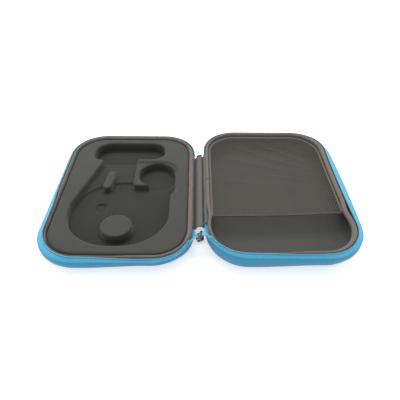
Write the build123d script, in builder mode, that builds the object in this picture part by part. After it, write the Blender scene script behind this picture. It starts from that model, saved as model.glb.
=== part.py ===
from build123d import *
from math import atan2, cos, degrees, hypot, pi, sin
import os

# A zip-round hard case, lying open and flat: a shallow base with a foam tray, a deeper
# lid with a mesh pocket, and a fabric hinge strip between them.
# Millimetres. X runs across the hinge from the base to the lid, Y runs along the hinge
# away from the viewer, Z is up. The origin is on the ground, in the middle.

# ---- driving dimensions ----
half_width = 190.0  # one half's rim, across the hinge
half_length = 265.0  # one half's rim, along the hinge
corner_radius = 50.0  # in plan
side_lean = 4.7  # the shell stands this far outside its rim, away from the hinge
end_lean = 2.5  # and this far at its far and near ends
hinge_gap = 14.0  # between the two halves at the hinge
base_rim_height = 31.0  # ground to the tips of the base's zipper teeth
lid_rim_height = 39.0  # ground to the tips of the lid's zipper teeth

shell_wall = 4.0
edge_inset = 30.0  # how far the bottom edge's rounding reaches inwards
base_wall_height = 3.9  # upright wall above that rounding
lid_wall_height = 6.9
lining_thickness = 0.8

tape_thickness = 1.2
teeth_height = 2.4
teeth_width = 2.0
teeth_gap_closed = 0.5  # between the two rows of teeth when the case is shut
stop_length = 3.4

binding_width = 4.2
binding_height = 7.0
binding_softness = 1.9  # radius of its rolled edges

strip_far_setback = 46.5  # from the far end of the case to the hinge strip
strip_near_setback = 55.5  # and from its near end
strip_thickness = 0.8
strip_end_clearance = 0.95  # between the strip and each shell's edge
hem_width = 3.0
hem_thickness = 1.1
margin_thickness = 1.0  # the strip's edge, sewn up behind each binding
margin_height = 5.0

tail_length = 22.5  # the zipper's joined end, along Y
tail_gap = 2.5  # between the hinge strip and the joined end
tail_join_length = 10.0  # the length over which the two tapes meet
tail_thickness = 0.8

slider_reach = 6.0  # from the joined end's near edge to the slider's middle
slider_length = 11.0
slider_width = 8.6
slider_nose_width = 6.0
wing_thickness = 1.2
wing_gap = 2.2
post_width = 2.0
post_length = 2.6
bail_width = 1.4
bail_length = 6.0
bail_wall = 0.8
bail_clear_height = 1.9

pull_length = 14.0
pull_width = 3.8
pull_thickness = 0.9
pull_window_length = 4.6
pull_hole = 1.6

tray_below_rim = 3.0
groove_width = 1.5  # between binding and tray
tray_edge_radius = 3.0
recess_edge_radius = 2.2
ledge_depth = 3.0
channel_floor = 11.6  # foam under each recess
coil_floor = 8.6
round_floor = 6.1
wide_floor = 5.6
small_floor = 5.6

mesh_drop = 1.2  # the mesh lies this far above the lid shell's edge
mesh_thickness = 0.5
mesh_pitch = 11.3
mesh_hole = 9.0  # across the flats
mesh_border = 5.4  # from the middle of an outermost hole to the edging or hem
mesh_opening = 67.0  # from the near end of the case to the middle of the mesh's hem
mesh_hem_width = 4.0
mesh_hem_thickness = 1.2
edging_width = 3.6
edging_thickness = 0.9

seat_clearance = 0.3  # between pieces that lie on each other

# ---- sizes worked out from them ----
half_centre = (hinge_gap + half_width) / 2
shell_width = half_width + side_lean
shell_length = half_length + 2 * end_lean
shell_radius = corner_radius + end_lean
shell_centre = (hinge_gap + shell_width) / 2
half_spread = hinge_gap / 2
rim_step = lid_rim_height - base_rim_height
strip_span = hypot(hinge_gap, rim_step)
strip_tilt = degrees(atan2(rim_step, hinge_gap))
tape_rise = strip_span / 2  # tape and teeth above the shell's edge
base_shell_top = base_rim_height - tape_rise
lid_shell_top = lid_rim_height - tape_rise
base_edge_height = base_shell_top - base_wall_height
lid_edge_height = lid_shell_top - lid_wall_height
lining_inset = shell_wall + seat_clearance
binding_inset = teeth_width + seat_clearance
tray_inset = binding_inset + binding_width + groove_width
strip_far_end = half_length / 2 - strip_far_setback
strip_near_end = strip_near_setback - half_length / 2
tail_far_end = strip_near_end - tail_gap
tail_near_end = tail_far_end - tail_length
tail_notch = tail_near_end + tail_join_length
slider_place = tail_near_end + slider_reach
hem_line = mesh_opening - half_length / 2

os.makedirs("parts", exist_ok=True)
print("strip span", round(strip_span, 3), "tilt", round(strip_tilt, 3))
print("spine turn", round(90 - strip_tilt, 3), "lid turn", round(90 + strip_tilt, 3))


def bowl(side, inset, low, high, edge_width, edge_height):
    """A filled half: the shell's plan drawn in by inset, with a rounded bottom edge."""
    width = shell_width - 2 * inset
    length = shell_length - 2 * inset
    radius = shell_radius - inset
    centre = side * shell_centre
    start = centre - width / 2
    with BuildPart() as body:
        with BuildLine() as outline:
            FilletPolyline(
                (start, 0),
                (start, length / 2),
                (start + width, length / 2),
                (start + width, 0),
                radius=[radius, radius],
            )
        with BuildSketch(Plane(origin=(start, 0, low), x_dir=(1, 0, 0), z_dir=(0, -1, 0))):
            with BuildLine():
                Line((0, high - low), (0, edge_height))
                EllipticalCenterArc(
                    (edge_width, edge_height), edge_width, edge_height, 180, arc_size=90
                )
                Line((edge_width, 0), (edge_width, high - low))
                Line((edge_width, high - low), (0, high - low))
            make_face()
        sweep(path=outline.line)
        mirror(about=Plane.XZ)
        with BuildSketch(Plane.XY.offset(low)):
            with Locations((centre, 0)):
                RectangleRounded(
                    width - 2 * edge_width, length - 2 * edge_width, radius - edge_width
                )
        extrude(amount=high - low)
    return body.part


def half_plan(side, inset):
    """The rim's plan on one side, drawn in by inset, for a sketch."""
    with BuildSketch() as plan:
        with Locations((side * half_centre, 0)):
            RectangleRounded(
                half_width - 2 * inset, half_length - 2 * inset, corner_radius - inset
            )
    return plan.sketch


def shell_plan(side, inset):
    """The shell's plan on one side, drawn in by inset, for a sketch."""
    with BuildSketch() as plan:
        with Locations((side * shell_centre, 0)):
            RectangleRounded(
                shell_width - 2 * inset, shell_length - 2 * inset, shell_radius - inset
            )
    return plan.sketch


def ring_band(side, inset, width, low, high):
    """A band that stands along the rim, all the way round."""
    with BuildPart() as band:
        with BuildSketch(Plane.XY.offset(low)):
            add(half_plan(side, inset))
            add(half_plan(side, inset + width), mode=Mode.SUBTRACT)
        extrude(amount=high - low)
    return band.part


def shell(side, top, edge_height):
    """The moulded half itself: a wall of even thickness, open at the top."""
    with BuildPart() as body:
        add(bowl(side, 0, 0, top, edge_inset, edge_height))
        add(
            bowl(
                side,
                shell_wall,
                shell_wall,
                top + shell_wall,
                edge_inset - shell_wall,
                edge_height - shell_wall,
            ),
            mode=Mode.SUBTRACT,
        )
    return body.part


def lining(side, top, edge_height):
    """The thin fabric inside a shell."""
    inner = lining_inset + lining_thickness
    with BuildPart() as body:
        add(
            bowl(
                side,
                lining_inset,
                lining_inset,
                top,
                edge_inset - lining_inset,
                edge_height - lining_inset,
            )
        )
        add(
            bowl(side, inner, inner, top + inner, edge_inset - inner, edge_height - inner),
            mode=Mode.SUBTRACT,
        )
    return body.part


def binding(side, low):
    """The soft fabric roll that covers the rim's seam on the inside."""
    with BuildPart() as body:
        add(ring_band(side, binding_inset, binding_width, low, low + binding_height))
        level = body.edges().group_by(Axis.Z)
        fillet(level[0] + level[-1], radius=binding_softness)
    return body.part


# ---- the zipper: open rows along the rim, left out beside the hinge ----
row_far_end = strip_far_end + seat_clearance
row_near_end = tail_near_end - seat_clearance
teeth_drop = teeth_gap_closed / 2


def zip_row(side, band, far_end):
    """A band round the rim, left out beside the hinge."""
    with BuildPart() as row:
        add(band)
        with Locations((side * half_spread, (far_end + row_near_end) / 2)):
            Box(corner_radius, far_end - row_near_end, half_width, mode=Mode.SUBTRACT)
    return row.part


def leaning_block(side, inset, low, high):
    """A filled block that leans in from the shell's plan to the rim's."""
    with BuildPart() as block:
        with BuildSketch(Plane.XY.offset(low)):
            add(shell_plan(side, inset))
        with BuildSketch(Plane.XY.offset(high)):
            add(half_plan(side, inset))
        loft()
    return block.part


def zip_tape(side, shell_top, rim):
    high = rim - teeth_drop - teeth_height
    with BuildPart() as band:
        add(leaning_block(side, 0, shell_top, high))
        add(leaning_block(side, tape_thickness, shell_top, high), mode=Mode.SUBTRACT)
    return zip_row(side, band.part, row_far_end)


def zip_teeth(side, rim):
    high = rim - teeth_drop
    band = ring_band(side, 0, teeth_width, high - teeth_height, high)
    return zip_row(side, band, row_far_end + stop_length + seat_clearance)


def top_stop(side, rim):
    """The clamp that ends a row of teeth beside the far end of the hinge strip."""
    high = rim - teeth_drop
    with BuildPart() as stop:
        with BuildSketch(Plane.XY.offset(high - teeth_height)):
            with Locations((side * (half_spread + teeth_width / 2), row_far_end + stop_length / 2)):
                RectangleRounded(teeth_width, stop_length, teeth_width / 4)
        extrude(amount=teeth_height)
    return stop.part


def strip_margin(side, shell_top):
    """The hinge strip's sewn edge, standing between the strip and the binding."""
    inset = seat_clearance + margin_thickness / 2
    with BuildPart() as margin:
        with BuildSketch(Plane.XY.offset(shell_top + seat_clearance)):
            with Locations(
                (side * (half_spread + inset), (strip_far_end + strip_near_end) / 2)
            ):
                Rectangle(margin_thickness, strip_far_end - strip_near_end)
        extrude(amount=margin_height)
    return margin.part


# ---- base ----
with BuildPart() as base_shell:
    add(shell(-1, base_shell_top, base_edge_height))
base_shell.part.label = "base_shell"
export_step(base_shell.part, "parts/base_shell.step")

with BuildPart() as base_lining:
    add(lining(-1, base_shell_top, base_edge_height))
base_lining.part.label = "base_lining"
export_step(base_lining.part, "parts/base_lining.step")

with BuildPart() as base_binding:
    add(binding(-1, base_shell_top + seat_clearance))
base_binding.part.label = "base_binding"
export_step(base_binding.part, "parts/base_binding.step")

with BuildPart() as base_zip_tape:
    add(zip_tape(-1, base_shell_top, base_rim_height))
base_zip_tape.part.label = "base_zip_tape"
export_step(base_zip_tape.part, "parts/base_zip_tape.step")

with BuildPart() as base_zip_teeth:
    add(zip_teeth(-1, base_rim_height))
base_zip_teeth.part.label = "base_zip_teeth"
export_step(base_zip_teeth.part, "parts/base_zip_teeth.step")

with BuildPart() as base_top_stop:
    add(top_stop(-1, base_rim_height))
base_top_stop.part.label = "base_top_stop"
export_step(base_top_stop.part, "parts/base_top_stop.step")

with BuildPart() as base_strip_margin:
    add(strip_margin(-1, base_shell_top))
base_strip_margin.part.label = "base_strip_margin"
export_step(base_strip_margin.part, "parts/base_strip_margin.step")

# ---- foam tray: one moulded block with joined recesses, which fills the shell up to the
# binding and stands up inside it ----
tray_low = lining_inset + lining_thickness + seat_clearance  # and its sides' inset
tray_high = base_rim_height - tray_below_rim
tray_height = tray_high - tray_low
tray_middle = (-half_centre, 0)

# Where the recesses stand, from the tray's middle: each follows the side of the tray that
# it lies beside.
left_wall = tray_inset + 16.5 - half_width / 2
right_wall = half_width / 2 - tray_inset - 17.0
far_wall = half_length / 2 - tray_inset - 11.5
near_wall = tray_inset + 13.5 - half_length / 2
wide_near = far_wall - 44.5
wide_left = left_wall + 10.5
wide_right = right_wall - 21.0
channel_left = left_wall + 28.0
channel_near = near_wall + 75.0
coil_right = right_wall - 8.0
ledge_far = wide_near - 6.0
ledge_near = ledge_far - 66.0
ledge_left = right_wall - 61.5
tongue_far = wide_near + 1.0  # the tongue of foam between wide and round pocket

# Their common outline, from the far left corner of the wide pocket, each corner with its
# radius.
recess_corners = [
    ((wide_left, far_wall), 24),
    ((wide_left, wide_near), 10),
    ((channel_left, wide_near), 4),
    ((left_wall, channel_near), 30),
    ((left_wall, near_wall), 62),
    ((coil_right, near_wall), 58),
    ((coil_right, ledge_near - 10), 12),
    ((right_wall, ledge_near), 12),
    ((right_wall, ledge_far), 24),
    ((ledge_left, ledge_far), 3),
    ((ledge_left, tongue_far), 3),
    ((wide_right, tongue_far), 20),
    ((wide_right, far_wall), 22),
]
coil_radius = 68.0
coil_centre = (left_wall + 66.0, near_wall + 67.0)
hub_centre = (left_wall + 67.0, near_wall + 34.5)
hub_radius = 20.0
hub_edge_radius = 1.5
round_centre = (right_wall - 29.8, ledge_far - 28.5)
round_radius = 27.0
ledge_edge = ledge_left - 1.0  # the channel lies to the left of it
ledge_foot = ledge_near + 12.0  # the ledge's near end, between the channel and the round pocket
ledge_foot_radius = 5.0
tongue_centre = (channel_left + 15.0, channel_near + 58.0)  # keeps two tubes apart
tongue_length = 40.0
tongue_width = 12.0
tongue_angle = 83.0
small_centre = (channel_left + 10.5, channel_near + 7.0)
small_width = 15.0
small_length = 18.0
small_radius = 6.0

tray_plane = Plane((*tray_middle, tray_high))

with BuildSketch() as recess_outline:
    with BuildLine():
        FilletPolyline(
            [corner for corner, radius in recess_corners],
            radius=[radius for corner, radius in recess_corners],
            close=True,
        )
    make_face()

with BuildPart() as foam_tray:
    add(
        bowl(
            -1,
            tray_low,
            tray_low,
            base_shell_top,
            edge_inset - tray_low,
            base_edge_height - tray_low,
        )
    )
    with BuildSketch(Plane.XY.offset(base_edge_height)):
        add(half_plan(-1, tray_inset))
    extrude(amount=tray_high - base_edge_height)
    top_edges = foam_tray.edges().group_by(Axis.Z)[-1]
    fillet(top_edges, radius=tray_edge_radius)
    with BuildSketch(tray_plane):
        add(recess_outline.sketch)
    extrude(amount=-ledge_depth, mode=Mode.SUBTRACT)
    fillet(foam_tray.edges(Select.LAST).group_by(Axis.Z)[-1], radius=recess_edge_radius)
    with BuildSketch(tray_plane):
        add(recess_outline.sketch)
        with Locations((0, wide_near)):
            Rectangle(half_width, half_length, align=(Align.CENTER, Align.MIN), mode=Mode.INTERSECT)
    extrude(amount=wide_floor - tray_height, mode=Mode.SUBTRACT)
    with BuildSketch(tray_plane):
        add(recess_outline.sketch)
        with Locations((ledge_edge, coil_centre[1])):
            Rectangle(
                half_width, half_length, align=(Align.MAX, Align.MIN), mode=Mode.INTERSECT
            )
    extrude(amount=channel_floor - tray_height, mode=Mode.SUBTRACT)
    with BuildSketch(tray_plane):
        with Locations(coil_centre):
            Circle(coil_radius)
            Rectangle(half_width, half_length, align=(Align.CENTER, Align.MAX))
        with Locations((ledge_edge, ledge_foot)):
            RectangleRounded(
                half_width,
                half_length,
                ledge_foot_radius,
                align=(Align.MIN, Align.MIN),
                mode=Mode.SUBTRACT,
            )
        with Locations(round_centre):
            Rectangle(round_radius, coil_radius, align=(Align.MIN, Align.MAX))
        add(recess_outline.sketch, mode=Mode.INTERSECT)
    extrude(amount=coil_floor - tray_height, mode=Mode.SUBTRACT)
    with BuildSketch(tray_plane):
        with Locations(round_centre):
            Circle(round_radius)
    extrude(amount=round_floor - tray_height, mode=Mode.SUBTRACT)
    with BuildSketch(tray_plane):
        with Locations(small_centre):
            RectangleRounded(small_width, small_length, small_radius)
    extrude(amount=small_floor - tray_height, mode=Mode.SUBTRACT)
    with BuildSketch(tray_plane.offset(round_floor - tray_height)):
        with Locations(hub_centre):
            Circle(hub_radius)
    extrude(amount=tray_height - round_floor)
    fillet(foam_tray.edges(Select.LAST).group_by(Axis.Z)[-1], radius=hub_edge_radius)
    with BuildSketch(tray_plane.offset(round_floor - tray_height)):
        with Locations(Location(tongue_centre, tongue_angle)):
            SlotOverall(tongue_length, tongue_width)
    extrude(amount=tray_height - ledge_depth - round_floor)
    fillet(foam_tray.edges(Select.LAST).group_by(Axis.Z)[-1], radius=hub_edge_radius)
foam_tray.part.label = "foam_tray"
export_step(foam_tray.part, "parts/foam_tray.step")

# ---- hinge strip, in its own plane: u across from the base's edge to the lid's,
# v along Y, and the strip hangs below that plane ----
tilt = atan2(rim_step, hinge_gap)
across = Vector(cos(tilt), 0, sin(tilt))
strip_plane = Plane(
    origin=(-half_spread, 0, base_shell_top), x_dir=across, z_dir=(-sin(tilt), 0, cos(tilt))
)
strip_upright = Axis(strip_plane.origin, strip_plane.z_dir)
strip_middle = (strip_far_end + strip_near_end) / 2
strip_width = strip_span - 2 * strip_end_clearance

with BuildPart() as hinge_strip:
    with BuildSketch(strip_plane):
        with Locations((strip_span / 2, strip_middle)):
            Rectangle(strip_width, strip_far_end - strip_near_end - 2 * hem_width)
    extrude(amount=-strip_thickness)
hinge_strip.part.label = "hinge_strip"
export_step(hinge_strip.part, "parts/hinge_strip.step")


def strip_hem(middle):
    """The strip's end, turned over and sewn."""
    with BuildPart() as hem:
        with BuildSketch(strip_plane):
            with Locations((strip_span / 2, middle)):
                Rectangle(strip_width, hem_width)
        extrude(amount=-hem_thickness)
    return hem.part


with BuildPart() as hinge_hem_far:
    add(strip_hem(strip_far_end - hem_width / 2))
hinge_hem_far.part.label = "hinge_hem_far"
export_step(hinge_hem_far.part, "parts/hinge_hem_far.step")

with BuildPart() as hinge_hem_near:
    add(strip_hem(strip_near_end + hem_width / 2))
hinge_hem_near.part.label = "hinge_hem_near"
export_step(hinge_hem_near.part, "parts/hinge_hem_near.step")

# ---- the zipper's joined end: both tapes' tails, meeting at the slider ----
tail_left = strip_end_clearance
tail_right = strip_span - strip_end_clearance
tail_middle = strip_span / 2
post_place = slider_place - slider_length / 2 + post_length / 2
post_clearance = 0.6
crotch = post_place + post_length / 2 + post_clearance
crotch_half = post_width / 2 + post_clearance
meeting_half = 1.2

with BuildPart() as zip_tails:
    with BuildSketch(strip_plane):
        with BuildLine():
            Polyline(
                (tail_left, tail_far_end),
                (tail_middle - meeting_half, tail_notch),
                (tail_middle + meeting_half, tail_notch),
                (tail_right, tail_far_end),
                (tail_right, tail_near_end),
                (tail_middle + 2 * crotch_half, tail_near_end),
                (tail_middle + crotch_half, crotch),
                (tail_middle - crotch_half, crotch),
                (tail_middle - 2 * crotch_half, tail_near_end),
                (tail_left, tail_near_end),
                close=True,
            )
        make_face()
    extrude(amount=-tail_thickness)
zip_tails.part.label = "zip_tails"
export_step(zip_tails.part, "parts/zip_tails.step")

# ---- slider: two wings on a post, with the pull's bail on the outer wing ----
wing_high = (wing_gap - tail_thickness) / 2  # underside of the inner wing
wing_low = wing_high - wing_gap  # top of the outer wing
bail_top = wing_low - wing_thickness
slider_far = slider_place + slider_length / 2
slider_near = slider_place - slider_length / 2
wing_corner_radius = 1.6
nose_start = 3.0  # the wings narrow over this length


def slider_wing(low):
    with BuildPart() as wing:
        with BuildSketch(strip_plane.offset(low)):
            with BuildLine():
                Polyline(
                    (tail_middle - slider_width / 2, slider_near),
                    (tail_middle + slider_width / 2, slider_near),
                    (tail_middle + slider_width / 2, slider_far - nose_start),
                    (tail_middle + slider_nose_width / 2, slider_far),
                    (tail_middle - slider_nose_width / 2, slider_far),
                    (tail_middle - slider_width / 2, slider_far - nose_start),
                    close=True,
                )
            make_face()
        extrude(amount=wing_thickness)
        fillet(wing.edges().filter_by(strip_upright), radius=wing_corner_radius)
    return wing.part


slider_side_plane = Plane(
    origin=strip_plane.origin + across * tail_middle, x_dir=(0, 1, 0), z_dir=across
)
pull_axis = bail_top - bail_clear_height / 2

with BuildPart() as zip_slider:
    add(slider_wing(wing_high))
    add(slider_wing(bail_top))
    with BuildSketch(strip_plane.offset(bail_top)):
        with Locations((tail_middle, post_place)):
            RectangleRounded(post_width, post_length, post_width / 4)
    extrude(amount=wing_gap + 2 * wing_thickness)
    with BuildSketch(slider_side_plane):
        with Locations((slider_place, bail_top - (bail_clear_height + bail_wall) / 2)):
            Rectangle(bail_length, bail_clear_height + bail_wall)
        with Locations((slider_place, pull_axis)):
            Rectangle(bail_length - 2 * bail_wall, bail_clear_height, mode=Mode.SUBTRACT)
    extrude(amount=bail_width / 2, both=True)
zip_slider.part.label = "zip_slider"
export_step(zip_slider.part, "parts/zip_slider.step")

# ---- pull: its root bar turns in the bail ----
window_clearance = 0.35
window_width = bail_width + 2 * window_clearance
pull_root = slider_place - pull_thickness / 2
pull_tip_radius = 1.7

with BuildPart() as zip_pull:
    with BuildSketch(strip_plane.offset(pull_axis - pull_thickness / 2)):
        with Locations((tail_middle, pull_root)):
            Rectangle(pull_width, pull_length, align=(Align.CENTER, Align.MIN))
    extrude(amount=pull_thickness)
    tip = zip_pull.edges().filter_by(strip_upright).group_by(Axis.Y)[-1]
    fillet(tip, radius=pull_tip_radius)
    with BuildSketch(strip_plane.offset(pull_axis - pull_thickness / 2)):
        with Locations((tail_middle, slider_place + pull_thickness / 2)):
            Rectangle(window_width, pull_window_length, align=(Align.CENTER, Align.MIN))
        with Locations((tail_middle, pull_root + pull_length - pull_width / 2)):
            Circle(pull_hole / 2)
    extrude(amount=pull_thickness, mode=Mode.SUBTRACT)
zip_pull.part.label = "zip_pull"
export_step(zip_pull.part, "parts/zip_pull.step")

# ---- lid ----
with BuildPart() as lid_shell:
    add(shell(1, lid_shell_top, lid_edge_height))
lid_shell.part.label = "lid_shell"
export_step(lid_shell.part, "parts/lid_shell.step")

with BuildPart() as lid_lining:
    add(lining(1, lid_shell_top, lid_edge_height))
lid_lining.part.label = "lid_lining"
export_step(lid_lining.part, "parts/lid_lining.step")

with BuildPart() as lid_binding:
    add(binding(1, lid_shell_top + seat_clearance))
lid_binding.part.label = "lid_binding"
export_step(lid_binding.part, "parts/lid_binding.step")

with BuildPart() as lid_zip_tape:
    add(zip_tape(1, lid_shell_top, lid_rim_height))
lid_zip_tape.part.label = "lid_zip_tape"
export_step(lid_zip_tape.part, "parts/lid_zip_tape.step")

with BuildPart() as lid_zip_teeth:
    add(zip_teeth(1, lid_rim_height))
lid_zip_teeth.part.label = "lid_zip_teeth"
export_step(lid_zip_teeth.part, "parts/lid_zip_teeth.step")

with BuildPart() as lid_top_stop:
    add(top_stop(1, lid_rim_height))
lid_top_stop.part.label = "lid_top_stop"
export_step(lid_top_stop.part, "parts/lid_top_stop.step")

with BuildPart() as lid_strip_margin:
    add(strip_margin(1, lid_shell_top))
lid_strip_margin.part.label = "lid_strip_margin"
export_step(lid_strip_margin.part, "parts/lid_strip_margin.step")

# ---- mesh pocket: a net from the lid's far edge to a hem across the lid ----
mesh_inset = binding_inset + binding_width + seat_clearance
mesh_low = lid_shell_top + mesh_drop
mesh_top = mesh_low + mesh_thickness
mesh_edge = hem_line - mesh_hem_width / 2
field_inset = mesh_inset + edging_width
field_near = hem_line + mesh_hem_width / 2


def in_field(place):
    """Whether a hole of the net lies inside the mesh's edging and hem."""
    x = abs(place.X - half_centre)
    y = abs(place.Y)
    reach = field_inset + mesh_border
    straight_x = half_width / 2 - corner_radius
    straight_y = half_length / 2 - corner_radius
    corner = hypot(max(x - straight_x, 0), max(y - straight_y, 0))
    beside = x < half_width / 2 - reach and y < half_length / 2 - reach
    return beside and corner < corner_radius - reach and place.Y > field_near + mesh_border


column_count = int(half_width / mesh_pitch)
row_pitch = mesh_pitch * sin(pi / 3)
row_count = int(half_length / row_pitch)
hole_places = []
for row in range(row_count):
    shift = mesh_pitch / 4 if row % 2 else -mesh_pitch / 4
    for column in range(column_count):
        place = Vector(
            half_centre + (column - (column_count - 1) / 2) * mesh_pitch + shift,
            (row - (row_count - 1) / 2) * row_pitch,
        )
        if in_field(place):
            hole_places.append(place)
print("net holes", len(hole_places))

with BuildPart() as mesh_panel:
    with BuildSketch(Plane.XY.offset(mesh_low)) as net:
        add(half_plan(1, mesh_inset))
        with Locations((half_centre, mesh_edge)):
            Rectangle(half_width, half_length, align=(Align.CENTER, Align.MIN), mode=Mode.INTERSECT)
        with Locations(hole_places):
            RegularPolygon(mesh_hole / 2, 6, major_radius=False, rotation=30, mode=Mode.SUBTRACT)
    extrude(amount=mesh_thickness)
mesh_panel.part.label = "mesh_panel"
export_step(mesh_panel.part, "parts/mesh_panel.step")

with BuildPart() as mesh_hem:
    with BuildSketch(Plane.XY.offset(mesh_top)):
        with Locations((half_centre, hem_line)):
            Rectangle(half_width - 2 * mesh_inset, mesh_hem_width)
    extrude(amount=mesh_hem_thickness)
mesh_hem.part.label = "mesh_hem"
export_step(mesh_hem.part, "parts/mesh_hem.step")

with BuildPart() as mesh_edging:
    with BuildSketch(Plane.XY.offset(mesh_top)):
        add(half_plan(1, mesh_inset))
        add(half_plan(1, field_inset), mode=Mode.SUBTRACT)
        with Locations((half_centre, field_near + seat_clearance)):
            Rectangle(half_width, half_length, align=(Align.CENTER, Align.MIN), mode=Mode.INTERSECT)
    extrude(amount=edging_thickness)
mesh_edging.part.label = "mesh_edging"
export_step(mesh_edging.part, "parts/mesh_edging.step")
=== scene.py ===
import math
import bmesh
import bpy
from mathutils import Matrix, Vector, noise


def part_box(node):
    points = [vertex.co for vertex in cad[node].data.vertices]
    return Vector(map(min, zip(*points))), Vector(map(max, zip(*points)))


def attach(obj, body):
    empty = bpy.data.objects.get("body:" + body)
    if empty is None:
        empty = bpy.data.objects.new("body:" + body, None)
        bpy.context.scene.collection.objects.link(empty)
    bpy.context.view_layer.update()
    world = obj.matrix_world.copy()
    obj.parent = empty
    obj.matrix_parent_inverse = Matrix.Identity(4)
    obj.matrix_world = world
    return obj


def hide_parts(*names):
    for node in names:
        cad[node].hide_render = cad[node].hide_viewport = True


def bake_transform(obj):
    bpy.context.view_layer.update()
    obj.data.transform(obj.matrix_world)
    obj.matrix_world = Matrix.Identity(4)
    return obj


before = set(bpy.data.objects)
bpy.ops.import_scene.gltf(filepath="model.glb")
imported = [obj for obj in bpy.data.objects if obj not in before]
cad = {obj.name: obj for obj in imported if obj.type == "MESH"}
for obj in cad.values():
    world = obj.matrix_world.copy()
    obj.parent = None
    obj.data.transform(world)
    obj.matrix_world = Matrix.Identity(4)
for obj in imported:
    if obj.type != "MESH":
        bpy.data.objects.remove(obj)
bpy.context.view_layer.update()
scene = bpy.context.scene
mm = 0.001
print("frame loaded:", len(cad), "nodes")

# Sizes in millimetres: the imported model's, and from stripFar on those of the cloth alone.
case = {
    "width": 190.0,
    "length": 265.0,
    "corner": 50.0,
    "halfGap": 7.0,
    "sideLean": 4.7,  # the shell stands outside its rim by these, but not at the hinge
    "endLean": 2.5,
    "edgeInset": 30.0,
    "wall": 4.0,
    "rowFar": 86.0,
    "tailStart": -107.0,  # where the tapes leave the near corners for the slider
    "stripFar": 79.0,
    "stripNear": -78.5,
    "sideBow": 3.0,  # the lid's outer wall swells out this far between its corners
    "bowReach": 115.0,
    "hemLine": -61.0,
    "hemSkew": 7.5,  # the hem runs askew: so much nearer at the hinge than at the other side
    "hemRun": 176.0,
}
halfMiddle = case["halfGap"] + case["width"] / 2
coreReach = case["width"] / 2 - case["corner"]


def boxOf(node):
    low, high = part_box(node)
    return [v / mm for v in (*low, *high)]


def topOf(node):
    return boxOf(node)[5]


def bottomOf(node):
    return boxOf(node)[2]


# The near rim slumps out and down, most at slumpAt, and the wall under it is tucked in. The outer
# rim is drawn in.
halves = {
    "base": {"side": -1, "straight": 3.9, "slump": (2.7, 1.1), "slumpAt": 0.62, "tuck": 3.4,
             "drawn": 2.2},
    "lid": {"side": 1, "straight": 6.9, "slump": (2.0, 0.5), "slumpAt": -0.3, "tuck": 3.0,
            "drawn": 2.5},
}
for half, facts in halves.items():
    facts["top"] = topOf(half + "_shell")
    facts["edge"] = facts["top"] - facts["straight"]
    facts["teethLow"] = bottomOf(half + "_zip_teeth")
    facts["teethHigh"] = topOf(half + "_zip_teeth")
    facts["bindingLow"] = bottomOf(half + "_binding")
    facts["bindingHigh"] = topOf(half + "_binding")


# ---- nodes and colours ----
def linear(shade):
    channels = [int(shade[i : i + 2], 16) / 255 for i in (0, 2, 4)]
    return [c / 12.92 if c <= 0.04045 else ((c + 0.055) / 1.055) ** 2.4 for c in channels] + [1.0]


def fillNode(tree, node, inputs):
    for name, value in inputs.items():
        if isinstance(value, bpy.types.NodeSocket):
            tree.links.new(value, node.inputs[name])
        else:
            node.inputs[name].default_value = value
    return node


def addNode(tree, kind, inputs=None, **settings):
    made = tree.nodes.new(kind)
    for name, value in settings.items():
        setattr(made, name, value)
    return fillNode(tree, made, inputs or {})


def mathNode(tree, operation, *values, **settings):
    made = addNode(
        tree, "ShaderNodeMath", dict(enumerate(values)), operation=operation, **settings
    )
    return made.outputs[0]


def rangeNode(tree, value, low, high, fromLow=0.0, fromHigh=1.0):
    made = addNode(
        tree, "ShaderNodeMapRange",
        {"Value": value, "From Min": fromLow, "From Max": fromHigh, "To Min": low, "To Max": high},
    )
    return made.outputs[0]


def noiseNode(tree, place, scale, detail):
    made = addNode(
        tree, "ShaderNodeTexNoise",
        {"Vector": place.outputs["Object"], "Scale": scale, "Detail": detail},
    )
    return made.outputs[0]


def toneNode(tree, factor, dark, light):
    made = addNode(tree, "ShaderNodeMix", {"Factor": factor}, data_type="RGBA")
    made.inputs[6].default_value = linear(dark)
    made.inputs[7].default_value = linear(light)
    return made.outputs[2]


def scaledNode(tree, colour, level):
    made = addNode(
        tree, "ShaderNodeVectorMath", {0: colour, "Scale": level}, operation="SCALE"
    )
    return made.outputs[0]


def heightNode(tree, place):
    return addNode(tree, "ShaderNodeSeparateXYZ", {"Vector": place}).outputs[2]


def newMaterial(name):
    material = bpy.data.materials.new(name)
    material.use_nodes = True
    tree = material.node_tree
    return material, tree, tree.nodes["Principled BSDF"]


# What a cloth has where it doesn't say otherwise. Its lengths are in millimetres.
usualCloth = {
    "map": True, "turn": 0, "ribbed": False, "patch": 24.0, "fuzz": 1.6, "grain": 0.12,
    "fleck": 0.06, "bump": 0.5, "relief": 0.25, "roughness": 0.8, "sheen": 0.15, "specular": 0.3,
}


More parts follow.
